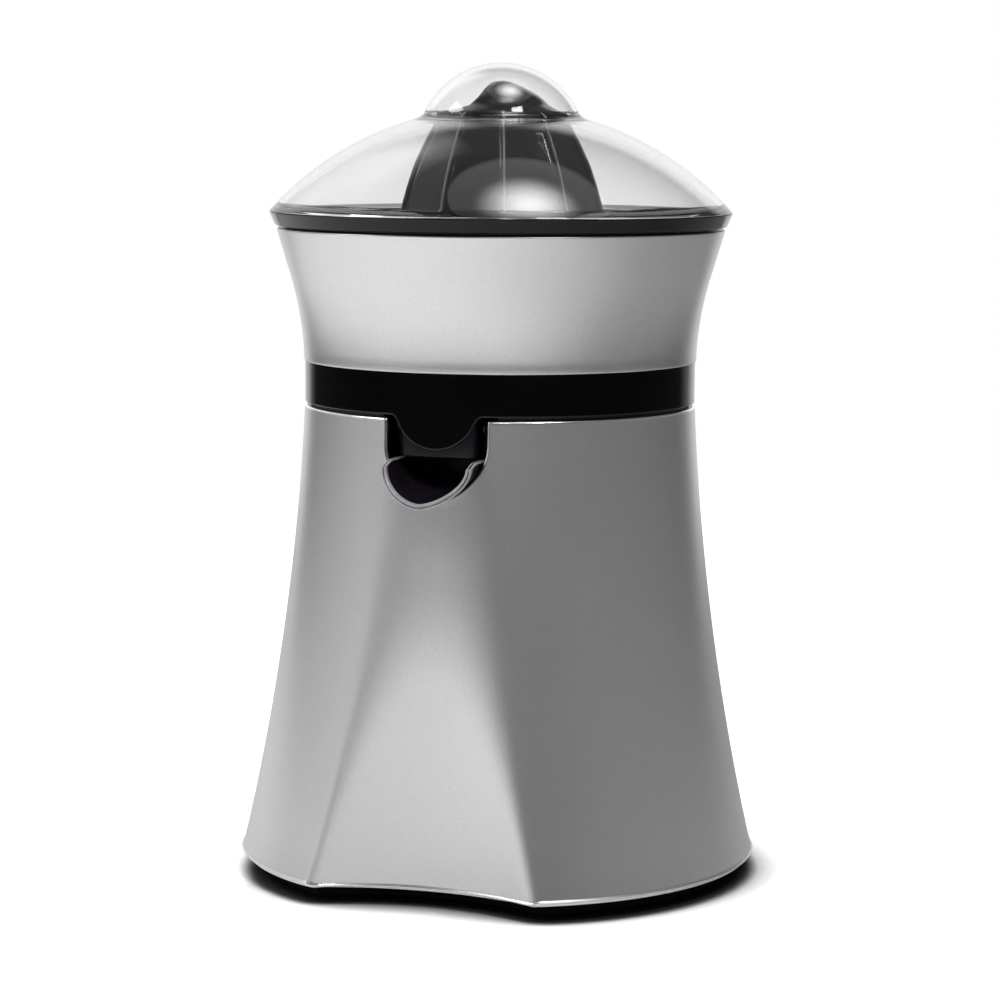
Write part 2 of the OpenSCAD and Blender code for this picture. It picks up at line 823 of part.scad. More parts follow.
module spout() {
    color("#2a2430") difference() {
        union() {
            difference() {
                trough_form(spout_r, spout_back);
                block([-30, -100, spout_edge], [30, 0, 200]);
                // slanted lip
                translate([-30, -spout_reach, notch_z - spout_r]) rotate([-lip_slant, 0, 0])
                    translate([0, -30, -10]) cube([60, 30, 50]);
            }
            for (s = [-1, 1]) {
                translate([s * (ear_in + ear_out) / 2, pivot_y, pivot_z]) rotate([0, 90, 0])
                    cylinder(h = ear_out - ear_in, r = ear_r, center = true);
                block([s > 0 ? ear_in : -ear_out, pivot_y - ear_r, spout_edge - 4.6],
                      [s > 0 ? ear_out : -ear_in, pivot_y + ear_r, pivot_z]);
            }
        }
        trough_form(spout_r - spout_wall, spout_back + spout_wall);
        translate([-30, pivot_y, pivot_z]) rotate([0, 90, 0]) cylinder(h = 60, r = pivot_r + 0.06);
    }
}

module lid() {
    dome_z = lid_top - dome_r;
    color("#dfe8ee", 0.3) rotate_extrude() polygon(concat(
        [[rim_r - 0.2, rim_top + 0.1]],
        cap_arc(lid_r, cap_z, rim_r - 0.1, 31.2),
        [[29.6, 280.4]],
        cap_arc(dome_r, dome_z, 28.6, 0, 8),
        cap_arc(dome_r - dome_wall, dome_z, 0, 26.5, 8),
        cap_arc(lid_r - lid_wall, cap_z, 26.8, 81.8),
        [[81.8, 244.3], [83.3, 244.3], [83.3, rim_top + 0.1]]));
}

lower_housing();
base_plate();
rubber_feet();
base_screws();
motor_cover();
cover_screws();
gearbox_base();
gearbox_cover();
gearbox_screws();
idler_pin();
upper_shaft_bush();
shaft_seal();
thrust_guide();
return_spring();
microswitch();
upper_motor_bracket();
lower_motor_bracket();
motor_bearings();
stator_core();
field_coils();
carbon_brushes();
motor_bolts();
terminal_block();
cord_gland();
motor_shaft();
rotor_core();
commutator();
motor_pinion();
cooling_fan();
idler_gear();
output_gear();
thrust_cap();
drive_shaft();
switch_plunger();
reamer();
juice_bowl();
upper_skirt();
strainer();
spout_pins();
spout();
lid();
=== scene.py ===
"""Citrus press juicer: refined meshes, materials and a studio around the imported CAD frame. Metres, +Z up."""

import json
import math

import bmesh
import bpy
from mathutils import Euler, Matrix, Vector

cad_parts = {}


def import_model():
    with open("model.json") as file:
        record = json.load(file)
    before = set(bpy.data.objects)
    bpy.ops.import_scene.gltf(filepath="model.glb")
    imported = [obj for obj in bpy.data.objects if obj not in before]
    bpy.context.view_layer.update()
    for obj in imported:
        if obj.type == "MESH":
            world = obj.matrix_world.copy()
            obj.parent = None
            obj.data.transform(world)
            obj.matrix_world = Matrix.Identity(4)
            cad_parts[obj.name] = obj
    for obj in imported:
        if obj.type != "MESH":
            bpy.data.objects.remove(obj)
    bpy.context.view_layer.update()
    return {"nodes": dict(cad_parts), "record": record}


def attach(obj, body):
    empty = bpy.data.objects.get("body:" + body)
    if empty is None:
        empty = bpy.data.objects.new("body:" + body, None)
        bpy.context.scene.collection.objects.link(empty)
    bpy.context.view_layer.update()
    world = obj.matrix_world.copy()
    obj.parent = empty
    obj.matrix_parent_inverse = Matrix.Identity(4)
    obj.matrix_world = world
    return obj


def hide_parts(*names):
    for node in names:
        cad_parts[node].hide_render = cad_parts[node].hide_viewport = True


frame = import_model()
nodes = frame["nodes"]

MM = 0.001
TAU = 2 * math.pi

# ---------------------------------------------------------------- sizes, in millimetres as in the CAD

BASE_LOW = 6.0              # lower edge of the silver housing
BASE_TOP = 174.4            # its upper edge
BASE_TOP_R = 72.7
BASE_LEAN = 0.0483          # outward slope just below the top edge
BASE_FLARE = 0.00055        # growth of that slope
BASE_WALL = 2.4
BASE_EDGE = 0.9             # rounding of its free edges
SCOOP_R = 86.0              # upright hollow for the glass
SCOOP_REACH = 76.0          # from the shaft's axis to its deepest line
NOTCH_R = 18.8              # half the width of the spout's notch
NOTCH_WIDE_Z = 165.0        # the notch narrows below this
NOTCH_LOW = 145.5           # its lowest point
BAND_LOW = 175.5            # black waist band of the bowl
BAND_TOP = 190.4
BAND_R = 72.4
TONGUE_R = 15.0             # round tongue of the band, over the spout
TONGUE_Z = 178.4
SKIRT_CURVE = 122.0         # radius of the curve up the skirt's side
SKIRT_START = 187.0         # height where that curve is upright
SKIRT_BEND = 224.0          # height where it goes over into a straight flare
SKIRT_FLARE = 0.298         # slope of the flare
SKIRT_PROUD = 0.2           # how far the skirt stands outside the band
SKIRT_TOP = 239.2
SKIRT_WALL = 1.5
RIM_R = 85.6                # black rim of the bowl
RIM_TOP = 245.2
LEDGE_Z = 243.9             # step inside the rim, which carries the lid
LEDGE_R = 79.6              # its inner edge
BOWL_WALL = 2.0
BOWL_FLOOR = 188.0          # upper side of the bowl's floor
BOWL_LOW = 184.0            # lower side of it
CHIMNEY_R = 16.4            # pipe in the bowl's middle, which the drive shaft comes up through
CHIMNEY_HOLE = 14.0         # its inner radius
CHIMNEY_TOP = 214.0
CHUTE_Y = -60.0             # middle of the square pipe from the bowl into the trough
CHUTE_HALF_X = 14.0
CHUTE_HALF_Y = 9.2
CHUTE_TOP = 186.4
CHUTE_LOW = 160.6
CHUTE_WALL = 2.0
SPOUT_WALL = 1.8
SPOUT_REACH = 89.8          # lowest point of the lip, from the axis
SPOUT_LOW = 144.5           # height of that point
SPOUT_BACK = 50.5           # back wall, from the axis
SPOUT_BACK_LOW = 148.6      # lowest point of the trough at the back
SPOUT_EDGE = 159.2          # top edges of the trough
SPOUT_HALF_BACK = 16.4      # half the trough's width at the back
SPOUT_HALF_LIP = 16.6       # and at the lip
PIVOT_Y = -57.0
PIVOT_Z = 170.5
REAMER_LOW = 239.0          # foot of the reamer's cone
REAMER_SHOULDER = 281.1     # where its side goes over into the tip
REAMER_TIP = 293.5
REAMER_WALL = 2.0
LID_R = 114.5               # radius of the lid's broad arch
LID_Z = 169.4               # height of that arch's centre
DOME_R = 31.4               # the small dome on top
DOME_Z = 268.6
LID_WALL = 2.2

BEVELLED = {"base_plate": 0.6, "rubber_feet": 0.8, "cord_gland": 0.4, "motor_cover": 0.4, "strainer": 0.2}


def base_r(z):
    """Radius of the housing at a height."""
    u = BASE_TOP - z
    return BASE_TOP_R + BASE_LEAN * u + BASE_FLARE * u * u


def skirt_r(z):
    """Radius of the skirt at a height: an arc that starts upright, then a straight flare."""
    bend = min(z, SKIRT_BEND)
    arc = BAND_R + SKIRT_PROUD + SKIRT_CURVE - math.sqrt(SKIRT_CURVE ** 2 - (bend - SKIRT_START) ** 2)
    return arc + SKIRT_FLARE * max(0.0, z - SKIRT_BEND)


def soft_min(a, b, width):
    """The smaller of two values, blended where they are within width of each other."""
    h = max(width - abs(a - b), 0.0) / width
    return min(a, b) - h * h * width / 4


def smooth(x):
    """Goes from 0 to 1 as x does, with soft ends."""
    x = min(1.0, max(0.0, x))
    return x * x * (3 - 2 * x)


def along(x, points):
    """Straight lines between (x, value) points, level beyond the ends."""
    if x <= points[0][0]:
        return points[0][1]
    for (x0, v0), (x1, v1) in zip(points, points[1:]):
        if x <= x1:
            return v0 + (v1 - v0) * (x - x0) / (x1 - x0)
    return points[-1][1]


# ---------------------------------------------------------------- node tools

def feed(tree, value, socket):
    """Links another socket to a socket, or sets a plain value on it."""
    if isinstance(value, bpy.types.NodeSocket):
        tree.links.new(value, socket)
    else:
        socket.default_value = value


def add_node(tree, kind, **inputs):
    """A new node with some of its inputs fed, named with _ for a space."""
    node = tree.nodes.new(kind)
    for key, value in inputs.items():
        feed(tree, value, node.inputs[key.replace("_", " ")])
    return node


def math_value(tree, operation, *values):
    node = tree.nodes.new("ShaderNodeMath")
    node.operation = operation
    for value, socket in zip(values, node.inputs):
        feed(tree, value, socket)
    return node.outputs["Value"]


def vector_value(tree, operation, place, other):
    """A vector node's single number, such as a distance."""
    node = tree.nodes.new("ShaderNodeVectorMath")
    node.operation = operation
    feed(tree, place, node.inputs[0])
    feed(tree, other, node.inputs[1])
    return node.outputs["Value"]


def map_range(tree, value, low, high, to_low=0.0, to_high=1.0, interpolation="LINEAR"):
    """Goes from to_low to to_high as the value goes from low to high, level beyond them."""
    node = add_node(tree, "ShaderNodeMapRange", Value=value, From_Min=low, From_Max=high, To_Min=to_low,
                    To_Max=to_high)
    node.interpolation_type = interpolation
    return node.outputs["Result"]


def mix_colors(tree, factor, first, second):
    return add_node(tree, "ShaderNodeMixRGB", Fac=factor, Color1=first, Color2=second).outputs["Color"]


def mix_shaders(tree, factor, first, second):
    node = add_node(tree, "ShaderNodeMixShader", Fac=factor)
    feed(tree, first, node.inputs[1])
    feed(tree, second, node.inputs[2])
    return node.outputs["Shader"]


def own_place(tree):
    """The object's own coordinates."""
    return tree.nodes.new("ShaderNodeTexCoord").outputs["Object"]


def falloff(tree, centre, near, far, low, high):
    """Goes from low to high between two distances from a point in the object's own coordinates."""
    away = vector_value(tree, "DISTANCE", own_place(tree), centre)
    return map_range(tree, away, near, far, low, high, "SMOOTHSTEP")


def empty_material(name):
    """A material with no nodes yet, and its node tree."""
    mat = bpy.data.materials.new(name)
    mat.use_nodes = True
    mat.node_tree.nodes.clear()
    return mat, mat.node_tree


# ---------------------------------------------------------------- materials

def make_material(name, color, roughness, metallic=0.0, **inputs):
    """A Principled material. Returns (material, node tree, principled node)."""
    mat = bpy.data.materials.new(name)
    mat.use_nodes = True
    tree = mat.node_tree
    shader = tree.nodes["Principled BSDF"]
    shader.inputs["Base Color"].default_value = (*color, 1)
    shader.inputs["Roughness"].default_value = roughness
    shader.inputs["Metallic"].default_value = metallic
    for key, value in inputs.items():
        shader.inputs[key.replace("_", " ")].default_value = value
    return mat, tree, shader


def noise(tree, scale, detail=2.0, stretch=(1, 1, 1)):
    """A noise texture on the object's own coordinates."""
    mapping = add_node(tree, "ShaderNodeMapping", Vector=own_place(tree), Scale=stretch)
    tex = add_node(tree, "ShaderNodeTexNoise", Vector=mapping.outputs["Vector"], Scale=scale, Detail=detail)
    return tex.outputs["Fac"]


def vary_color(tree, shader, factor, dark, light, low=0.35, high=0.65):
    ramp = add_node(tree, "ShaderNodeValToRGB", Fac=factor)
    for element, position, color in zip(ramp.color_ramp.elements, (low, high), (dark, light)):
        element.position = position
        element.color = (*color, 1)
    tree.links.new(ramp.outputs["Color"], shader.inputs["Base Color"])


def vary_roughness(tree, shader, factor, low, high):
    tree.links.new(map_range(tree, factor, 0.0, 1.0, low, high), shader.inputs["Roughness"])


def add_bump(tree, shader, factor, strength, distance):
    bump = add_node(tree, "ShaderNodeBump", Strength=strength, Distance=distance, Height=factor)
    tree.links.new(bump.outputs["Normal"], shader.inputs["Normal"])


def silver_paint():
    mat, tree, shader = make_material("silver_paint", (0.62, 0.62, 0.62), 0.30, 0.85)
    grain = noise(tree, 2600, 2.0)
    vary_color(tree, shader, grain, (0.575, 0.575, 0.575), (0.665, 0.665, 0.66), 0.3, 0.7)
    vary_roughness(tree, shader, noise(tree, 40, 2.0), 0.285, 0.315)
    add_bump(tree, shader, grain, 0.08, 0.00006)
    return mat


def painted_edge_highlight():
    """The narrow edges of the silver parts, in a brighter silver than the paint: a painted highlight for the
    light these edges catch.
    """
    mat, tree, shader = make_material("painted_edge_highlight", (0.93, 0.93, 0.93), 0.2, 1.0)
    vary_color(tree, shader, noise(tree, 500, 2.0), (0.90, 0.90, 0.90), (0.96, 0.96, 0.96))
    vary_roughness(tree, shader, noise(tree, 120, 2.0), 0.16, 0.24)
    add_bump(tree, shader, noise(tree, 900, 1.0), 0.05, 0.00005)
    return mat


def gloss_black():
    mat, tree, shader = make_material("gloss_black", (0.0015, 0.0015, 0.0015), 0.08, Specular_IOR_Level=0.28)
    vary_color(tree, shader, noise(tree, 25, 3.0), (0.001, 0.001, 0.0012), (0.002, 0.002, 0.0022))
    vary_roughness(tree, shader, noise(tree, 60, 4.0), 0.05, 0.11)
    add_bump(tree, shader, noise(tree, 220, 1.0), 0.02, 0.0001)
    return mat


def reamer_black():
    """Gloss black, with a painted highlight in light grey along the ribs from the mesh's crest values; the
    plastic itself is black all over.
    """
    mat, tree, shader = make_material("reamer_black", (0.006, 0.006, 0.006), 0.12)
    crest = tree.nodes.new("ShaderNodeAttribute")
    crest.attribute_name = "crest"
    # painted highlight along the rib crests, with a little random tone from the noise
    highlight_and_tone = math_value(tree, "MULTIPLY_ADD", noise(tree, 30, 3.0), 0.02, crest.outputs["Fac"])
    vary_color(tree, shader, highlight_and_tone, (0.004, 0.004, 0.0042), (0.5, 0.5, 0.5), 0.0, 1.0)
    vary_roughness(tree, shader, noise(tree, 80, 3.0), 0.10, 0.16)
    add_bump(tree, shader, noise(tree, 300, 1.0), 0.03, 0.0001)
    return mat


def smoke_plastic():
    mat, tree, shader = make_material("smoke_plastic", (0.010, 0.007, 0.012), 0.10, Specular_IOR_Level=0.2)
    vary_color(tree, shader, noise(tree, 40, 2.0), (0.008, 0.006, 0.010), (0.014, 0.010, 0.016))
    vary_roughness(tree, shader, noise(tree, 90, 3.0), 0.07, 0.14)
    add_bump(tree, shader, noise(tree, 250, 1.0), 0.03, 0.0001)
    return mat


def spout_edge():
    # light grey on the smoke plastic's lip: a painted sheen for the light its rounded edges catch
    mat, tree, shader = make_material("spout_edge", (0.36, 0.355, 0.365), 0.25)
    vary_color(tree, shader, noise(tree, 200, 2.0), (0.32, 0.315, 0.325), (0.40, 0.395, 0.405))
    add_bump(tree, shader, noise(tree, 500, 1.0), 0.05, 0.0001)
    return mat


def moulded(name, color, roughness, specular=0.5):
    """Plain moulded plastic or rubber with a fine grained surface."""
    mat, tree, shader = make_material(name, color, roughness, Specular_IOR_Level=specular)
    darker = tuple(c * 0.8 for c in color)
    lighter = tuple(min(1.0, c * 1.2) for c in color)
    vary_color(tree, shader, noise(tree, 60, 3.0), darker, lighter)
    vary_roughness(tree, shader, noise(tree, 150, 3.0), roughness - 0.06, roughness + 0.06)
    add_bump(tree, shader, noise(tree, 2500, 2.0), 0.15, 0.0001)
    return mat


def metal(name, color, roughness, stretch=(1, 1, 1)):
    """Machined or wound metal, its grain drawn out along one axis."""
    mat, tree, shader = make_material(name, color, roughness, 1.0)
    darker = tuple(c * 0.75 for c in color)
    vary_color(tree, shader, noise(tree, 400, 3.0, stretch), darker, color)
    vary_roughness(tree, shader, noise(tree, 300, 2.0, stretch), roughness - 0.08, roughness + 0.08)
    add_bump(tree, shader, noise(tree, 900, 2.0, stretch), 0.1, 0.0001)
    return mat


def clear_plastic():
    mat, tree, shader = make_material("clear_plastic", (0.975, 0.975, 0.975), 0.0, Transmission_Weight=1.0,
                                      IOR=1.49)
    add_bump(tree, shader, noise(tree, 18, 1.0), 0.015, 0.0002)
    return mat


SILVER = silver_paint()
EDGE_HIGHLIGHT = painted_edge_highlight()
BLACK = gloss_black()
REAMER = reamer_black()
SMOKE = smoke_plastic()
LIP_SHEEN = spout_edge()
CLEAR = clear_plastic()
PLASTIC = moulded("black_plastic", (0.02, 0.02, 0.021), 0.45)
RUBBER = moulded("rubber", (0.022, 0.022, 0.022), 0.75)
# darker and duller than the black plastic: painted shade for the base plate in the shadow under the housing
SHADED_UNDERSIDE = moulded("painted_shade_underside", (0.006, 0.006, 0.006), 0.8, 0.05)
BOWL_INSIDE = moulded("satin_black", (0.012, 0.012, 0.012), 0.55, 0.1)
NYLON = moulded("white_nylon", (0.78, 0.77, 0.72), 0.4)
RED = moulded("red_plastic", (0.55, 0.05, 0.04), 0.4)
CARBON = moulded("carbon", (0.04, 0.04, 0.04), 0.55)
STEEL = metal("steel", (0.60, 0.61, 0.62), 0.28, (1, 1, 8))
BRONZE = metal("bronze", (0.62, 0.42, 0.22), 0.38)
COPPER = metal("copper", (0.66, 0.30, 0.15), 0.35, (1, 1, 20))
IRON = metal("laminations", (0.30, 0.31, 0.32), 0.45, (1, 1, 30))

SLOT_MATERIALS = {
    "silver_paint": SILVER, "black_gloss": BLACK, "black_plastic": PLASTIC, "smoke_plastic": SMOKE,
    "clear_plastic": CLEAR, "rubber": RUBBER, "steel": STEEL, "bronze": BRONZE, "copper": COPPER,
    "carbon": CARBON, "laminations": IRON, "white_nylon": NYLON, "red_plastic": RED,
}


# ---------------------------------------------------------------- mesh tools

def finish_piece(obj, material, body, slot, *stands_for):
    """Gives a new piece its material and tells the frame where it belongs."""
    obj.data.materials.append(material)
    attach(obj, body)
    if stands_for:
        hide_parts(*stands_for)
    return obj


def second_material(obj, material, chosen):
    """Gives a second material to the faces whose middles, in millimetres, are chosen."""
    obj.data.materials.append(material)
    for face in obj.data.polygons:
        if chosen(*(c / MM for c in face.center)):
            face.material_index = 1


def new_object(name, verts, faces, sharp_deg=40):
    """An object from points in millimetres, smooth shaded with creases at sharp edges."""
    mesh = bpy.data.meshes.new(name)
    mesh.from_pydata([Vector(v) * MM for v in verts], [], faces)
    mesh.validate()
    work = bmesh.new()
    work.from_mesh(mesh)
    bmesh.ops.remove_doubles(work, verts=work.verts, dist=1e-6)
    bmesh.ops.recalc_face_normals(work, faces=work.faces)
    work.to_mesh(mesh)
    work.free()
    mesh.shade_smooth()
    mesh.set_sharp_from_angle(angle=math.radians(sharp_deg))
    obj = bpy.data.objects.new(name, mesh)
    bpy.context.scene.collection.objects.link(obj)
    keep_flats(obj)
    return obj


def keep_flats(obj):
    """Large faces keep their own normals, so that only the small rounded edges shade round."""
    mod = obj.modifiers.new("flat_faces", "WEIGHTED_NORMAL")
    mod.keep_sharp = True
    mod.weight = 60


def ring_faces(rings, wide, closed=False):
    """Faces between rings of points, each closed on itself. closed joins the last ring to the first."""
    faces = []
    for i in range(rings if closed else rings - 1):
        j = (i + 1) % rings
        for k in range(wide):
            n = (k + 1) % wide
            faces.append((i * wide + k, i * wide + n, j * wide + n, j * wide + k))
    return faces


def rounded(outline, steps=5):
    """A closed outline of (r, z, radius) corners, each corner replaced by an arc of its radius."""
    out = []
    count = len(outline)
    for i, (r, z, radius) in enumerate(outline):
        here = Vector((r, z))
        a = Vector(outline[i - 1][:2]) - here
        b = Vector(outline[(i + 1) % count][:2]) - here
        if radius <= 0 or a.length < 1e-6 or b.length < 1e-6:
            out.append((r, z))
            continue
        turn = a.angle(b)
        reach = min(radius / math.tan(turn / 2), a.length * 0.49, b.length * 0.49)
        arc_r = reach * math.tan(turn / 2)
        a.normalize()
        b.normalize()
        centre = here + (a + b).normalized() * (arc_r / math.sin(turn / 2))
        start = here + a * reach - centre
        end = here + b * reach - centre
        sweep = start.angle(end) if start.length > 1e-9 and end.length > 1e-9 else 0
        for k in range(steps + 1):
            t = k / steps
            s = math.sin(sweep)
            if s < 1e-6:
                mixed = start.lerp(end, t)
            else:
                mixed = start * (math.sin((1 - t) * sweep) / s) + end * (math.sin(t * sweep) / s)
            out.append(tuple(centre + mixed))
    return out


def lathe_data(profile, segments=192):
    """Points and faces of a closed outline of (r, z) turned about the Z axis."""
    verts, faces, rings = [], [], []
    for r, z in profile:
        if r < 1e-4:
            rings.append([len(verts)] * segments)
            verts.append((0, 0, z))
        else:
            rings.append([len(verts) + k for k in range(segments)])
            verts += [(r * math.cos(TAU * k / segments), r * math.sin(TAU * k / segments), z)
                      for k in range(segments)]
    for i, ring in enumerate(rings):
        above = rings[(i + 1) % len(rings)]
        for k in range(segments):
            n = (k + 1) % segments
            corner = list(dict.fromkeys((ring[k], ring[n], above[n], above[k])))
            if len(corner) > 2:
                faces.append(corner)
    return verts, faces


def clipped_grid(rows, inside=None):
    """Points and faces of a grid that closes on itself sideways, with the part where inside(point) < 0 cut
    off along a clean line."""
    verts = [p for row in rows for p in row]
    wide = len(rows[0])
    level = [inside(p) if inside else 1.0 for p in verts]
    cuts = {}

    def cut(i, j):
        key = (min(i, j), max(i, j))
        if key not in cuts:
            a, b = key
            t = level[a] / (level[a] - level[b])
            verts.append(tuple(p + (q - p) * t for p, q in zip(verts[a], verts[b])))
            cuts[key] = len(verts) - 1
        return cuts[key]

    faces = []
    for i in range(len(rows) - 1):
        for k in range(wide):
            n = (k + 1) % wide
            quad = (i * wide + k, i * wide + n, (i + 1) * wide + n, (i + 1) * wide + k)
            if min(level[q] for q in quad) >= 0:
                faces.append(quad)
                continue
            if max(level[q] for q in quad) < 0:
                continue
            corner = []
            for a, b in zip(quad, quad[1:] + quad[:1]):
                if level[a] >= 0:
                    corner.append(a)
                if (level[a] >= 0) != (level[b] >= 0):
                    corner.append(cut(a, b))
            if len(corner) > 2:
                faces.append(tuple(corner))
    return verts, faces


def shell(verts, faces, thickness, edge, steps=4):
    """A closed wall behind an open sheet, which is its outer face. Every free edge gets a rounded rim that
    reaches past it by edge."""
    work = bmesh.new()
    made = [work.verts.new(v) for v in verts]
    for f in faces:
        work.faces.new([made[i] for i in f])
    bmesh.ops.remove_doubles(work, verts=work.verts, dist=1e-3)
    loose = [v for v in work.verts if not v.link_faces]
    bmesh.ops.delete(work, geom=loose, context="VERTS")
    work.normal_update()
    work.verts.ensure_lookup_table()
    outer = list(work.verts)
    normal = {v: v.normal.copy() for v in outer}
    back = {v: work.verts.new(v.co - normal[v] * thickness) for v in outer}
    for f in list(work.faces):
        work.faces.new([back[v] for v in reversed(f.verts)])
    rim = [e for e in work.edges if len(e.link_faces) == 1 and e.verts[0] in back]
    out = {}
    for e in rim:
        loop = e.link_loops[0]
        a, b = loop.vert, loop.link_loop_next.vert
        side = (b.co - a.co).normalized().cross(loop.face.normal)
        for v in (a, b):
            out[v] = out.get(v, Vector()) + side
    rings = {}
    for v, side in out.items():
        n = normal[v]
        side = (side - n * side.dot(n)).normalized()
        arc = [math.pi / 2 * k / steps for k in range(1, steps + 1)]
        deep = [(t, edge * (1 - math.cos(t))) for t in arc]
        deep += [(t, thickness - edge * (1 - math.cos(t))) for t in reversed(arc)]
        ring = [v] + [work.verts.new(v.co + side * edge * math.sin(t) - n * depth) for t, depth in deep]
        ring.append(back[v])
        rings[v] = ring
    for e in rim:
        loop = e.link_loops[0]
        a, b = rings[loop.vert], rings[loop.link_loop_next.vert]
        for k in range(len(a) - 1):
            work.faces.new((b[k], a[k], a[k + 1], b[k + 1]))
    work.verts.index_update()
    points = [tuple(v.co) for v in work.verts]
    polys = [tuple(v.index for v in f.verts) for f in work.faces]
    work.free()
    return points, polys


def join_data(*parts):
    """Several (points, faces) as one."""
    verts, faces = [], []
    for v, f in parts:
        base = len(verts)
        verts += v
        faces += [tuple(i + base for i in poly) for poly in f]
    return verts, faces


def front_angles(dense_half_deg, dense_step, step):
    """Angles once round from the front, closer together near the front."""
    angles = []
    a = -180.0
    while a < 180 - 1e-6:
        angles.append(math.radians(a))
        a += dense_step if abs(a) < dense_half_deg or abs(a + step) < dense_half_deg else step
    return angles


def at(r, angle, z):
    """The point at a radius and an angle from the front, -Y, towards +X."""
    return (r * math.sin(angle), -r * math.cos(angle), z)


# ---------------------------------------------------------------- motor base

def scoop_distance(angle):
    """How far the scoop's wall is from the axis along an angle from the front."""
    centre = SCOOP_REACH + SCOOP_R
    across = centre * math.sin(angle)
    if math.cos(angle) <= 0 or abs(across) >= SCOOP_R:
        return 1e3
    return centre * math.cos(angle) - math.sqrt(SCOOP_R ** 2 - across ** 2)


def cup_outline(half, depth, power):
    """(angle from straight down, distance) points of a cup's outline, seen from the middle of its top."""
    points = []
    for k in range(61):
        t = math.pi / 2 * k / 60
        x, down = half * math.sin(t) ** power, depth * math.cos(t)
        points.append((math.atan2(x, down), math.hypot(x, down)))
    return points


NOTCH_OUTLINE = cup_outline(NOTCH_R, NOTCH_WIDE_Z - NOTCH_LOW, 1.35)


def notch_level(p, clear):
    """Distance from the spout's notch, positive in the wall."""
    x, y, z = p
    if y > 0:
        return 1.0
    if z > NOTCH_WIDE_Z:
        return abs(x) - NOTCH_R - clear
    down = NOTCH_WIDE_Z - z
    return math.hypot(x, down) - along(math.atan2(abs(x), down), NOTCH_OUTLINE) - clear


BEAD = ((6.9, 0.4), (7.05, 0.5), (7.2, 0.46), (7.3, 0.38), (7.6, 0.06), (7.8, 0.0))   # (height, how proud)


def housing_point(a, z):
    """A point of the housing's outside. The scoop's creases get softer upwards, and the lower edge is a
    little higher beside the scoop than in it."""
    left = along(z, ((20, 4.0), (120, 7.0)))
    right = along(z, ((20, 4.5), (120, 6.5)))
    crease = left + (right - left) * smooth((math.degrees(a) + 8) / 16)
    r = soft_min(base_r(z), scoop_distance(a), crease)
    lift = 0.8 * smooth((scoop_distance(a) - base_r(z)) / 3) * max(0.0, 1 - (z - BASE_LOW) / 10)
    return at(r + along(z, BEAD) - 0.3, a, z + lift)


def on_edge_highlight(x, y, z):
    """True on the housing's top edge, on its lowest rim and along the notch, which get the painted edge
    highlight.
    """
    r = math.hypot(x, y)
    low_rim = z < 7.28 + 0.5 * smooth((r - 88) / 3)
    at_notch = r > 70 and notch_level((x, y, z), BASE_EDGE) < -0.15
    return z > BASE_TOP - 0.85 or low_rim or at_notch


def lower_housing():
    above_bead, fine_from = 8.6, 138
    heights = [z for z, _ in BEAD]
    heights += [above_bead + (fine_from - above_bead) * t / 64 for t in range(65)]
    heights += [fine_from + (BASE_TOP - BASE_EDGE - fine_from) * t / 62 for t in range(1, 63)]
    rows = [[housing_point(a, z) for a in front_angles(18, 0.4, 1.0)] for z in heights]
    sheet = clipped_grid(rows, lambda p: notch_level(p, BASE_EDGE))
    obj = new_object("housing_shell", *shell(*sheet, BASE_WALL, BASE_EDGE), sharp_deg=60)
    finish_piece(obj, SILVER, "motor_base", "silver_paint", "lower_housing")
    # the edges take the brighter silver, a painted highlight
    second_material(obj, EDGE_HIGHLIGHT, on_edge_highlight)


# ---------------------------------------------------------------- bowl

def tongue_low(x):
    """Lower edge of the waist band at a distance across the front: the tongue, with soft inner corners."""
    flare, overlap = 2.4, 1.2
    reach = math.sqrt(TONGUE_R ** 2 - (TONGUE_Z - BAND_LOW) ** 2)
    away = abs(x)
    if away > reach + flare:
        return BAND_LOW
    if away <= reach - overlap:
        return TONGUE_Z - math.sqrt(TONGUE_R ** 2 - away ** 2)
    start = TONGUE_Z - math.sqrt(TONGUE_R ** 2 - (reach - overlap) ** 2)
    share = (away - (reach - overlap)) / (flare + overlap)
    return start + (BAND_LOW - start) * (1 - (1 - share) ** 2.2)


def waist_band():
    """The band with its tongue, as a shell that goes on upwards behind the skirt."""
    wall, edge, count = 2.2, 0.4, 16
    top = BAND_TOP + 1.5
    rows = []
    for i in range(count + 1):
        share = (i / count) ** 1.4
        row = []
        for a in front_angles(16, 0.35, 1.2):
            low = edge + (tongue_low(BAND_R * math.sin(a)) if math.cos(a) > 0 else BAND_LOW)
            row.append(at(BAND_R, a, low + (top - low) * share))
        rows.append(row)
    return shell(*clipped_grid(rows), wall, edge)


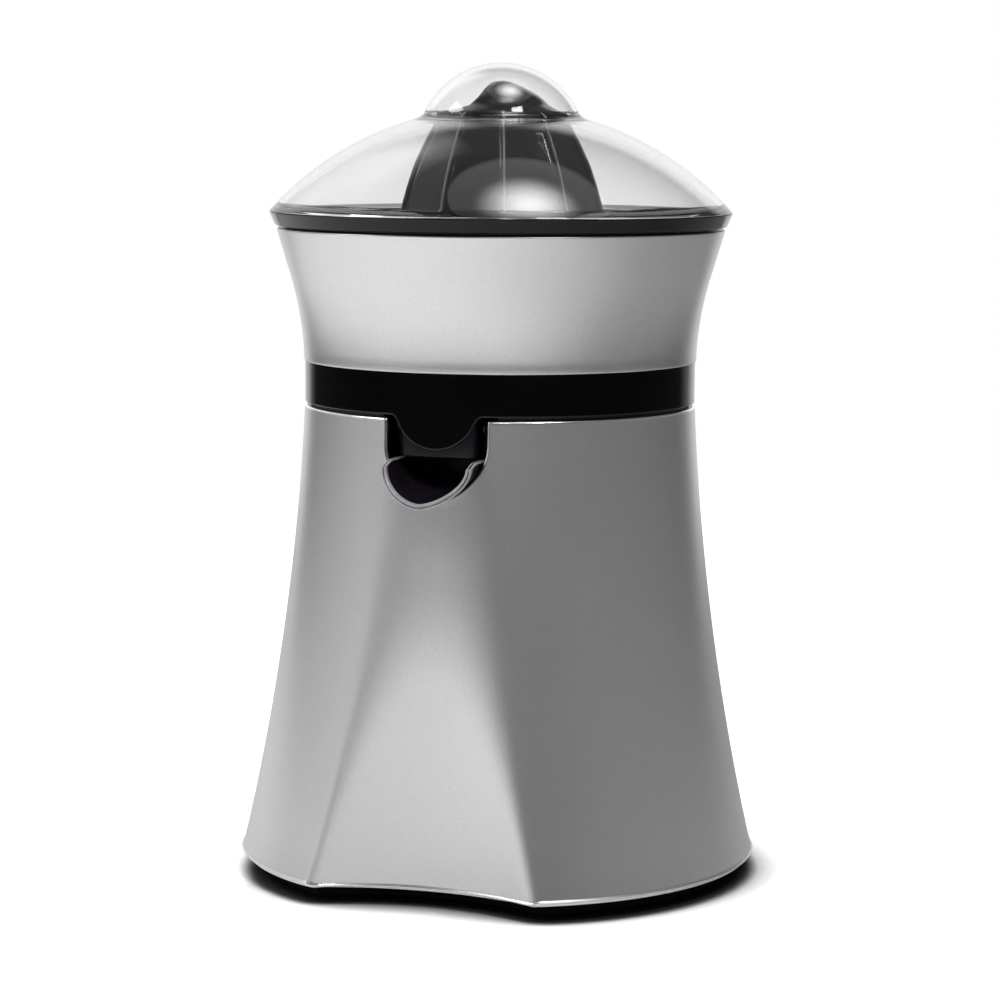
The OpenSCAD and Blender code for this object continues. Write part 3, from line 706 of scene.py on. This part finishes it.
def bowl_wall():
    """Rim, inner wall, floor and chimney turned about the axis."""
    behind_skirt = SKIRT_WALL + 0.2
    foot_r = 70.3
    outer = [(skirt_r(z) - behind_skirt, z, 0) for z in (192, 200, 208, 216, 224, 232, 238.4)]
    inner = [(skirt_r(z) - behind_skirt - BOWL_WALL, z, 0) for z in (238, 232, 224, 216, 208, 200)]
    outline = [(foot_r, BAND_TOP, 0)] + outer + [
        (skirt_r(SKIRT_TOP) - 0.5, SKIRT_TOP + 0.2, 0), (skirt_r(SKIRT_TOP) - 0.5, SKIRT_TOP + 0.9, 0.2),
        (skirt_r(SKIRT_TOP) + 0.7, SKIRT_TOP + 1.3, 0.5), (RIM_R, RIM_TOP, 0.25),
        (RIM_R - 2, RIM_TOP, 0.4), (RIM_R - 2, LEDGE_Z, 0.3),
        (LEDGE_R, LEDGE_Z, 0.6)] + inner + [
        (69.6, BOWL_FLOOR + 5, 2), (66, BOWL_FLOOR + 0.6, 3), (60, BOWL_FLOOR, 2), (CHIMNEY_R, BOWL_FLOOR, 2),
        (CHIMNEY_R, CHIMNEY_TOP, 0.8), (CHIMNEY_HOLE, CHIMNEY_TOP, 0.5), (CHIMNEY_HOLE, BOWL_LOW, 0.5),
        (foot_r, BOWL_LOW, 0.3)]
    return lathe_data(rounded(outline))


def outlet_chute():
    """Square pipe with rounded corners from the bowl's floor down into the trough."""
    def ring(inset, z, radius):
        half_x, half_y = CHUTE_HALF_X - inset, CHUTE_HALF_Y - inset
        out = []
        for sx, sy, first in ((1, 1, 0), (-1, 1, 90), (-1, -1, 180), (1, -1, 270)):
            for k in range(6):
                t = math.radians(first + 18 * k)
                out.append((sx * (half_x - radius) + radius * math.cos(t),
                            CHUTE_Y + sy * (half_y - radius) + radius * math.sin(t), z))
        return out

    rings = [ring(0, CHUTE_TOP, 2.5), ring(0, CHUTE_LOW + 0.8, 2.5), ring(0.6, CHUTE_LOW, 2),
             ring(CHUTE_WALL - 0.4, CHUTE_LOW, 1.5), ring(CHUTE_WALL, CHUTE_LOW + 0.8, 1.2),
             ring(CHUTE_WALL, CHUTE_TOP, 1.2)]
    return [p for r in rings for p in r], ring_faces(len(rings), len(rings[0]), closed=True)


def inside_bowl(x, y, z):
    """True on the bowl's inner wall and floor, and on the ledge in its rim."""
    r = math.hypot(x, y)
    wall = z > BAND_TOP + 3 and r < skirt_r(min(z, SKIRT_TOP)) - 2
    ledge = z > LEDGE_Z - 0.5 and r < RIM_R - 0.5
    return wall or ledge


def juice_bowl():
    obj = new_object("bowl_moulding", *join_data(waist_band(), bowl_wall()))
    finish_piece(obj, BLACK, "bowl", "black_gloss", "juice_bowl")
    second_material(obj, BOWL_INSIDE, inside_bowl)
    chute = new_object("bowl_outlet", *outlet_chute())
    finish_piece(chute, SMOKE, "bowl", "smoke_plastic")


def upper_skirt():
    """The skirt's ring, with a slight bead along its lower edge."""
    edge_low, bead_top, bead = BAND_TOP + 0.2, 192.4, 0.1
    outer = [(skirt_r(z), z, 0) for z in [194 + 1.5 * k for k in range(30)]]
    inner = [(skirt_r(z) - SKIRT_WALL, z, 0) for z in (237, 230, 222, 214, 206, 198)]
    outline = [(skirt_r(191) - SKIRT_WALL, edge_low, 0.3), (skirt_r(191) + bead, edge_low, 0.6),
               (skirt_r(192) + bead, bead_top, 0.5)] + outer + [
               (skirt_r(SKIRT_TOP), SKIRT_TOP, 0.5),
               (skirt_r(SKIRT_TOP) - SKIRT_WALL, SKIRT_TOP, 0.4)] + inner
    obj = new_object("skirt_ring", *lathe_data(rounded(outline), 256))
    finish_piece(obj, SILVER, "bowl", "silver_paint", "upper_skirt")


# ---------------------------------------------------------------- spout

TROUGH_SIDE = 0.95          # share of the half round that the trough's wall reaches up to
TROUGH_LENGTH = 0.95        # share of the way to the lip's face that it reaches out to


def trough_point(share, y_share):
    """A point of the trough's outside. share goes from -1 at the left top edge through the bottom to 1, and
    y_share from 0 at the back to 1 at the lip, which is wider and lower and leans back."""
    turn = abs(share) * math.pi / 2
    rise = 1 - math.cos(turn)
    back_y = -SPOUT_BACK - 1.2
    lip_y = -SPOUT_REACH + 8.4 * (1 - math.cos(turn) ** 1.9)
    back_z = SPOUT_BACK_LOW + (SPOUT_EDGE + 1.0 - SPOUT_BACK_LOW) * rise
    lip_z = SPOUT_LOW + (SPOUT_EDGE - 0.9 - SPOUT_LOW) * rise
    late = max(0.0, (y_share - 0.8) / 0.2)
    z = back_z + (lip_z - back_z) * (y_share + (late - y_share) * rise)
    half = SPOUT_HALF_BACK * (1 - y_share) + SPOUT_HALF_LIP * y_share
    x = half * math.sin(turn) ** (1.25 - 0.05 * y_share)
    return Vector((math.copysign(x, share), back_y + (lip_y - back_y) * y_share, z))


def trough():
    """Half-round trough with a closed back."""
    across, out = 64, 40
    shares = [TROUGH_SIDE * (2 * k / across - 1) for k in range(across + 1)]
    verts, faces = [], []
    for i in range(out + 1):
        verts += [tuple(trough_point(share, TROUGH_LENGTH * i / out)) for share in shares]
    wide = across + 1
    for i in range(out):
        faces += [(i * wide + k, i * wide + k + 1, (i + 1) * wide + k + 1, (i + 1) * wide + k)
                  for k in range(across)]
    # back wall: rows that shrink to the middle, after a rounded turn
    first = verts[:wide]
    top = first[0][2]
    start = 0
    for shrink, y in ((0.985, 0.8), (0.94, 1.1), (0.6, 1.2), (0.25, 1.2)):
        base = len(verts)
        verts += [(p[0] * shrink, p[1] + y, top + (p[2] - top) * shrink) for p in first]
        faces += [(start + k + 1, start + k, base + k, base + k + 1) for k in range(across)]
        start = base
    faces.append(tuple(range(start, start + wide)))
    return shell(verts, faces, SPOUT_WALL, 0.45 * SPOUT_WALL)


def disc_ear(side):
    """One hinge ear: a rounded strap up to the pivot, with the pivot's hole."""
    x_in, x_out, foot_z = 14.9, 17.2, 157.5
    hole, ear_r, count = 2.6, 5.0, 40
    verts = []
    rings = ((hole, x_in), (ear_r - 0.4, x_in), (ear_r, x_in + 0.4), (ear_r, x_out - 0.4),
             (ear_r - 0.4, x_out), (hole, x_out))
    for r, x in rings:
        for k in range(count):
            a = TAU * k / count
            z = PIVOT_Z + r * math.sin(a)
            y = PIVOT_Y + r * math.cos(a)
            if r > hole + 0.1 and math.sin(a) < 0:
                z = PIVOT_Z + (foot_z - PIVOT_Z) * min(1.0, -math.sin(a) * 2.2)
                y = PIVOT_Y + r * max(-1, min(1, math.cos(a) * 1.6))
            verts.append((side * x, y, z))
    return verts, ring_faces(len(rings), count, closed=True)


def swept(path, section):
    """Points and faces of a section of (sideways, lengthways) carried along (point, side, along) frames."""
    verts = []
    for point, side, lengthways in path:
        verts += [tuple(Vector(point) + Vector(side) * n + Vector(lengthways) * m) for n, m in section]
    wide = len(section)
    faces = ring_faces(len(path), wide)
    faces.append(tuple(reversed(range(wide))))
    faces.append(tuple(range(len(verts) - wide, len(verts))))
    return verts, faces


def spout_lip():
    """Rounded bead round the trough's end with a fine groove in its face, and beads on both top edges."""
    path = []
    for k in range(97):
        share = -0.985 + 1.97 * k / 96
        here = trough_point(share, 1)
        forward = (here - trough_point(share, 0.97)).normalized()
        tangent = (trough_point(share + 0.01, 1) - trough_point(share - 0.01, 1)).normalized()
        side = tangent.cross(forward).normalized()
        path.append((here, side, -forward))
    face = [(0.15, 1.6), (0.15, 0.45), (0.02, 0.12), (-0.2, 0.0), (-0.5, 0.0), (-0.62, 0.7), (-0.88, 0.7),
            (-1.0, 0.0), (-1.45, 0.0), (-1.75, 0.12), (-1.9, 0.45), (-1.9, 1.6)]
    parts = [swept(path, face)]
    for s in (-1, 1):
        rail = []
        for k in range(25):
            here = trough_point(s, 0.3 + 0.69 * k / 24)
            rail.append(((here.x - s * SPOUT_WALL / 2, here.y, here.z - 0.55), (s, 0, 0), (0, 0, 1)))
        parts.append(swept(rail, [(0.95, 0.0), (0.95, 0.3), (0.7, 0.55), (0.3, 0.55), (0.12, 0.1), (-0.12, 0.1),
                                  (-0.3, 0.55), (-0.7, 0.55), (-0.95, 0.3), (-0.95, 0.0)]))
    return join_data(*parts)


def spout():
    obj = new_object("spout_trough", *join_data(trough(), disc_ear(1), disc_ear(-1)))
    finish_piece(obj, SMOKE, "spout", "smoke_plastic", "spout")
    lip = new_object("spout_lip", *spout_lip())
    # the lip is smoke plastic, given light grey as a painted sheen
    finish_piece(lip, LIP_SHEEN, "spout", "smoke_plastic")


# ---------------------------------------------------------------- reamer

RIBS = 10
RIB_TURN = math.radians(20.3)       # angle of one rib from the front
NOSE_TURN = math.radians(18.5)      # the tip's steep side is square to this direction, on its left
RIB_PITCH = TAU / RIBS
CONE_SIDE = ((239, 40.2), (248, 38.6), (255.5, 36.4), (262.8, 33.8), (269.5, 30.5), (277, 26.4),
             (REAMER_SHOULDER, 23))     # (height, radius)
TIP_TOP = ((0, REAMER_TIP), (3.1, 293.0), (7.6, 291.2), (11.6, 289.2), (14.7, 287.2), (17.2, 284.6),
           (20.2, 282.9), (23, REAMER_SHOULDER))    # (radius, height)
TIP_WALL = ((0, 300), (3.0, 293.6), (4, 293.0), (6.4, 290.0), (8.4, 287.2), (9.2, 286.4), (11.5, 284.2),
            (15, 283.2), (22, 281.9), (24, 281.5))      # (distance to the tip's left, highest there)


def reamer_rows():
    """(radius, height) up the side and over the tip, before ribs and the tip's steep side."""
    rise = REAMER_SHOULDER - REAMER_LOW
    low = [(along(z, CONE_SIDE), z) for z in [REAMER_LOW + rise * k / 64 for k in range(64)]]
    high = [(r, along(r, TIP_TOP)) for r in [23 * (1 - k / 60) for k in range(60)]]
    rows = low + high
    for _ in range(6):
        rows = [rows[0]] + [tuple((a[c] + 2 * b[c] + d[c]) / 4 for c in (0, 1))
                            for a, b, d in zip(rows, rows[1:], rows[2:])] + [rows[-1]]
    return rows


def off_rib(a):
    """Angle to the nearest rib."""
    return abs((a - RIB_TURN + RIB_PITCH / 2) % RIB_PITCH - RIB_PITCH / 2)


def rib_depth(a, r, z):
    """How far the surface lies below the rib crests: narrow crests with broad hollow flutes between."""
    away = off_rib(a)
    share = away / (RIB_PITCH / 2)
    fade = smooth((z - REAMER_LOW) / 3) * (1 - smooth((z - 273) / 8))
    return fade * (1.5 * (1 - math.exp(-(away * r / 0.9) ** 2)) + 1.7 * (1 - (1 - share) ** 2))


def reamer_point(r, a, z):
    """A point of the cone's outside, with its ribs, and with the steep side cut into the tip."""
    left = -r * math.sin(a - NOSE_TURN)
    cut = soft_min(z, along(left, TIP_WALL), 0.8) - z
    return at(max(0.05, r - rib_depth(a, r, z)), a, z + cut * smooth((z - 279) / 2))


def mark_crests(mesh):
    """Writes how close each point of the mesh is to the middle of a rib, from 0 to 1, for the reamer's painted
    highlight along the ribs.
    """
    crest = mesh.attributes.new("crest", "FLOAT", "POINT")
    for vert in mesh.vertices:
        x, y, z = (c / MM for c in vert.co)
        a, r = math.atan2(x, -y), math.hypot(x, y)
        if REAMER_LOW + 1 < z < 281 and r > along(z, CONE_SIDE) - 1.2:
            crest.data[vert.index].value = math.exp(-(off_rib(a) * r / 0.42) ** 2)


def reamer():
    across = 720
    rows = reamer_rows()
    verts = [reamer_point(r, TAU * k / across, z) for r, z in rows for k in range(across)]
    faces = ring_faces(len(rows), across)
    top, last = len(verts), len(verts) - across
    verts.append((0, 0, REAMER_TIP))
    faces += [(last + k, last + (k + 1) % across, top) for k in range(across)]
    cone = shell(verts, faces, REAMER_WALL, 0.4, 3)
    flange_in, flange_r, flange_low, flange_top = 36, 42, 236.2, 239.6
    flange = lathe_data(rounded([(flange_in, flange_low, 0.3), (flange_r, flange_low, 0.9),
                                 (flange_r, REAMER_LOW, 1.2), (39.5, flange_top, 1.0),
                                 (flange_in, flange_top, 0.3)]))
    hub_hole, hub_r, hub_low, hub_top = 5.6, 9, 210, 268
    hub = lathe_data(rounded([(hub_hole, hub_low, 0.4), (hub_r, hub_low, 0.6), (hub_r, hub_top, 0),
                              (hub_hole, hub_top, 0)]), 64)
    obj = new_object("reamer_cone", *join_data(cone, flange, hub), sharp_deg=50)
    mark_crests(obj.data)
    finish_piece(obj, REAMER, "cone", "black_gloss", "reamer")


# ---------------------------------------------------------------- lid

def lid_arc(radius, centre_z, from_r, to_r, count):
    """(radius, height) points of an arch, from one distance off the axis to another."""
    first, last = math.asin(from_r / radius), math.asin(to_r / radius)
    turns = [first + (last - first) * k / count for k in range(count + 1)]
    return [(radius * math.sin(t), centre_z + radius * math.cos(t)) for t in turns]


def lid():
    outer = [(RIM_R - 0.3, RIM_TOP + 0.1), (RIM_R - 0.08, RIM_TOP + 0.16)]
    outer += lid_arc(LID_R, LID_Z, RIM_R - 0.12, 31.4, 44)
    outer += [(30.5, 279.9), (29.8, 280.25), (29.2, 280.85)]
    outer += lid_arc(DOME_R, DOME_Z, 28.7, 0, 30)
    inner = lid_arc(DOME_R - 2.0, DOME_Z, 0, 26.6, 30)
    inner += lid_arc(LID_R - LID_WALL, LID_Z, 27.4, 81.6, 44)
    inner += [(81.8, 245.0), (81.9, 244.5), (82.4, 244.3), (83.0, 244.4), (83.3, 244.8), (83.3, RIM_TOP + 0.1)]
    obj = new_object("clear_lid", *lathe_data(outer + inner, 256), sharp_deg=50)
    finish_piece(obj, CLEAR, "lid", "clear_plastic", "lid")


# ---------------------------------------------------------------- CAD nodes that stay

def dress_cad_nodes():
    """Every CAD node gets its slot's material, except the base plate, which gets a darker, duller black as
    painted shade; the nodes in BEVELLED also get soft edges where a flat edge would catch the light.
    """
    slots = {s["node"]: s["material_slot"] for s in frame["record"]["subparts"]}
    for name, obj in nodes.items():
        obj.data.materials.clear()
        obj.data.materials.append(SHADED_UNDERSIDE if name == "base_plate" else SLOT_MATERIALS[slots[name]])
        if name in BEVELLED:
            mod = obj.modifiers.new("edges", "BEVEL")
            mod.width = BEVELLED[name] * MM
            mod.segments = 3
            mod.limit_method = "ANGLE"
            mod.angle_limit = math.radians(50)
            keep_flats(obj)


# ---------------------------------------------------------------- studio

CAMERA_AZIMUTH = 18.5
CAMERA_DISTANCE = 1.168
CAMERA_HEIGHT = 0.2809
CAMERA_PITCH = 6.98
CAMERA_ROLL = 0.34
CAMERA_TURN = -0.012        # small turn of the view away from the axis
LENS = 113.3


def camera():
    """A long lens a little above the rim, to the right of the front."""
    cam = bpy.data.objects.new("camera", bpy.data.cameras.new("camera"))
    bpy.context.scene.collection.objects.link(cam)
    cam.data.lens = LENS
    cam.data.sensor_width = 36
    a = math.radians(CAMERA_AZIMUTH)
    cam.location = (CAMERA_DISTANCE * math.sin(a), -CAMERA_DISTANCE * math.cos(a), CAMERA_HEIGHT)
    aim = Euler((math.radians(90 - CAMERA_PITCH), 0, a + math.radians(CAMERA_TURN))).to_matrix()
    cam.rotation_euler = (aim @ Matrix.Rotation(math.radians(CAMERA_ROLL), 3, "Z")).to_euler()
    cam.data.clip_start, cam.data.clip_end = 0.05, 50
    bpy.context.scene.camera = cam


WHITE = (1, 1, 1, 1)
BEHIND = (-0.315, 0.943, 0.105)     # direction of the white backdrop behind the object
UNDER_SKY = ((-180, 0.7), (-135, 0.6), (-120, 0.05), (150, 0.05), (165, 0.5), (180, 0.7))
LOW_SKY = ((-180, 0.25), (-150, 0.38), (-110, 0.48), (-92, 0.54), (-72, 0.68), (-56, 0.76), (-38, 0.6),
           (-22, 0.05), (10, 0.02), (45, 0.05), (68, 0.18), (90, 0.22), (120, 0.24), (150, 0.24), (180, 0.26))
HIGH_SKY = ((-180, 0.10), (-152, 0.10), (-138, 1.2), (-125, 1.2), (-112, 0.8), (-100, 0.5), (-60, 0.4),
            (-30, 0.1), (0, 0.08), (50, 0.12), (120, 0.15), (180, 0.10))
TOP_SKY = ((-180, 0.15), (180, 0.15))


def sky_band(tree, share, stops):
    """Brightness all round from (angle from the front, value) stops, at a share of the way round."""
    ramp = add_node(tree, "ShaderNodeValToRGB", Fac=share)
    elements = ramp.color_ramp.elements
    while len(elements) < len(stops):
        elements.new(0.5)
    for element, (angle, value) in zip(elements, stops):
        element.position = (angle + 180) / 360
        element.color = (value, value, value, 1)
    return ramp.outputs["Color"]


def world():
    """White where it is seen directly. In reflections, walls bright on the left and dim on the right."""
    made = bpy.data.worlds.new("studio")
    bpy.context.scene.world = made
    made.use_nodes = True
    tree = made.node_tree
    tree.nodes.clear()
    direction = tree.nodes.new("ShaderNodeTexCoord").outputs["Generated"]
    x, y, z = add_node(tree, "ShaderNodeSeparateXYZ", Vector=direction).outputs
    turn = math_value(tree, "ARCTAN2", x, math_value(tree, "MULTIPLY", y, -1))
    share = map_range(tree, turn, -math.pi, math.pi)
    # each band takes over from the one below it between two sines of the elevation
    sky = sky_band(tree, share, UNDER_SKY)
    for stops, low, high in ((LOW_SKY, -0.03, 0.01), (HIGH_SKY, 0.22, 0.32), (TOP_SKY, 0.75, 0.88)):
        sky = mix_colors(tree, map_range(tree, z, low, high), sky, sky_band(tree, share, stops))
    behind = vector_value(tree, "DOT_PRODUCT", direction, BEHIND)
    sky = mix_colors(tree, map_range(tree, behind, 0.80, 0.89, interpolation="SMOOTHSTEP"), sky, WHITE)
    reflected = add_node(tree, "ShaderNodeBackground", Color=sky).outputs["Background"]
    seen = add_node(tree, "ShaderNodeBackground", Color=WHITE).outputs["Background"]
    path = tree.nodes.new("ShaderNodeLightPath").outputs
    bounces = math_value(tree, "ADD", path["Glossy Depth"], path["Diffuse Depth"])
    unbounced = math_value(tree, "LESS_THAN", bounces, 0.5)
    through = math_value(tree, "MULTIPLY", path["Is Transmission Ray"], unbounced)
    straight = math_value(tree, "MAXIMUM", path["Is Camera Ray"], through)
    add_node(tree, "ShaderNodeOutputWorld", Surface=mix_shaders(tree, straight, reflected, seen))


def area_light(name, location, target, size, radiance, glossy=True):
    """A rectangular light that faces its target and is never seen directly."""
    data = bpy.data.lights.new(name, "AREA")
    data.shape = "RECTANGLE"
    data.size, data.size_y = size
    data.energy = radiance * math.pi * size[0] * size[1]
    light = bpy.data.objects.new(name, data)
    bpy.context.scene.collection.objects.link(light)
    light.location = location
    light.rotation_euler = (Vector(target) - Vector(location)).to_track_quat("-Z", "Y").to_euler()
    light.visible_camera = False
    light.visible_glossy = light.visible_transmission = glossy
    return light


def disc_mesh(name, radius, rings=24, around=96):
    """A flat disc of that radius, in metres."""
    verts, faces = [(0, 0, 0)], []
    for i in range(1, rings + 1):
        r = radius * i / rings
        verts += [(r * math.cos(TAU * k / around), r * math.sin(TAU * k / around), 0) for k in range(around)]
    for k in range(around):
        faces.append((0, 1 + k, 1 + (k + 1) % around))
    for i in range(rings - 1):
        a, b = 1 + i * around, 1 + (i + 1) * around
        faces += [(a + k, b + k, b + (k + 1) % around, a + (k + 1) % around) for k in range(around)]
    mesh = bpy.data.meshes.new(name)
    mesh.from_pydata(verts, [], faces)
    obj = bpy.data.objects.new(name, mesh)
    bpy.context.scene.collection.objects.link(obj)
    return obj


FLOOR_LEAN = (-0.643, -0.766, 0)    # towards the floor's brighter side, in reflections: a painted pool of light
OPEN_SIDE = (-0.87, 0.5, 0)         # towards the side where the contact shadow is lighter


def floor():
    """A pale round floor that fades out before the studio's walls. Reflections see it painted brighter towards
    the left front, a painted pool of light, and the camera sees a painted contact shadow from ambient occlusion
    right beside whatever stands on it."""
    obj = disc_mesh("floor", 1.4)
    mat, tree = empty_material("floor")
    middle = (0, 0, 0)
    lean = vector_value(tree, "DOT_PRODUCT", own_place(tree), FLOOR_LEAN)
    # painted pool of light for reflections, brighter towards the left front and darker far out
    pale = math_value(tree, "MULTIPLY", map_range(tree, lean, -0.35, 0.35, 0.36, 1.0),
                      falloff(tree, middle, 1.12, 1.3, 1, 0.04))
    corner = add_node(tree, "ShaderNodeAmbientOcclusion", Distance=0.03)
    corner.samples = 12
    side = vector_value(tree, "DOT_PRODUCT", own_place(tree), OPEN_SIDE)
    openness = math_value(tree, "ADD", corner.outputs["AO"], map_range(tree, side, 0.03, 0.11, 0, 0.55))
    # painted contact shadow: the camera sees the floor darker where ambient occlusion is strong
    contact = map_range(tree, openness, 0.46, 0.82, 0.05, 1.35)
    reflected = add_node(tree, "ShaderNodeBsdfDiffuse", Color=pale).outputs["BSDF"]
    seen = add_node(tree, "ShaderNodeBsdfDiffuse", Color=contact).outputs["BSDF"]
    camera_ray = tree.nodes.new("ShaderNodeLightPath").outputs["Is Camera Ray"]
    clear = tree.nodes.new("ShaderNodeBsdfTransparent").outputs["BSDF"]
    surface = mix_shaders(tree, falloff(tree, middle, 1.1, 1.38, 0, 1),
                          mix_shaders(tree, camera_ray, reflected, seen), clear)
    add_node(tree, "ShaderNodeOutputMaterial", Surface=surface)
    obj.data.materials.append(mat)


def overhead():
    """A round diffuser above, brightest off its middle."""
    obj = disc_mesh("overhead", 0.62)
    obj.location = (0.21, 0.09, 1.75)
    mat, tree = empty_material("overhead")
    glow = add_node(tree, "ShaderNodeEmission", Strength=falloff(tree, (0.03, -0.13, 0), 0.0, 0.45, 10.5, 0.6))
    add_node(tree, "ShaderNodeOutputMaterial", Surface=glow.outputs["Emission"])
    obj.data.materials.append(mat)
    obj.visible_camera = False


def sun(name, irradiance, tilt, spread):
    """Light from a whole part of the sky, spread degrees wide, which no reflection shows."""
    data = bpy.data.lights.new(name, "SUN")
    data.energy = irradiance
    data.angle = math.radians(spread)
    light = bpy.data.objects.new(name, data)
    bpy.context.scene.collection.objects.link(light)
    light.rotation_euler = [math.radians(t) for t in tilt]
    light.visible_glossy = light.visible_transmission = False


def studio():
    world()
    floor()
    overhead()
    sun("ceiling", 1.7, (8, 0, 0), 70)
    area_light("left", (-0.9, -0.9, 1.5), (-0.4, -0.45, 0), (0.8, 0.8), 5.0, glossy=False)
    for name, place, size, radiance in (("left_box", (-1.15, -0.42, 1.1), (0.5, 0.6), 5.0),
                                        ("front_strip", (0.43, -1.10, 1.18), (0.14, 0.4), 6.0)):
        area_light(name, place, (0, 0, 0.26), size, radiance).visible_diffuse = False
    area_light("right", (0.79, -0.66, 1.48), (0, 0, 0.25), (0.35, 0.35), 14.0)
    bpy.context.scene.view_settings.view_transform = "Standard"


camera()
dress_cad_nodes()
lower_housing()
juice_bowl()
upper_skirt()
spout()
reamer()
lid()
studio()
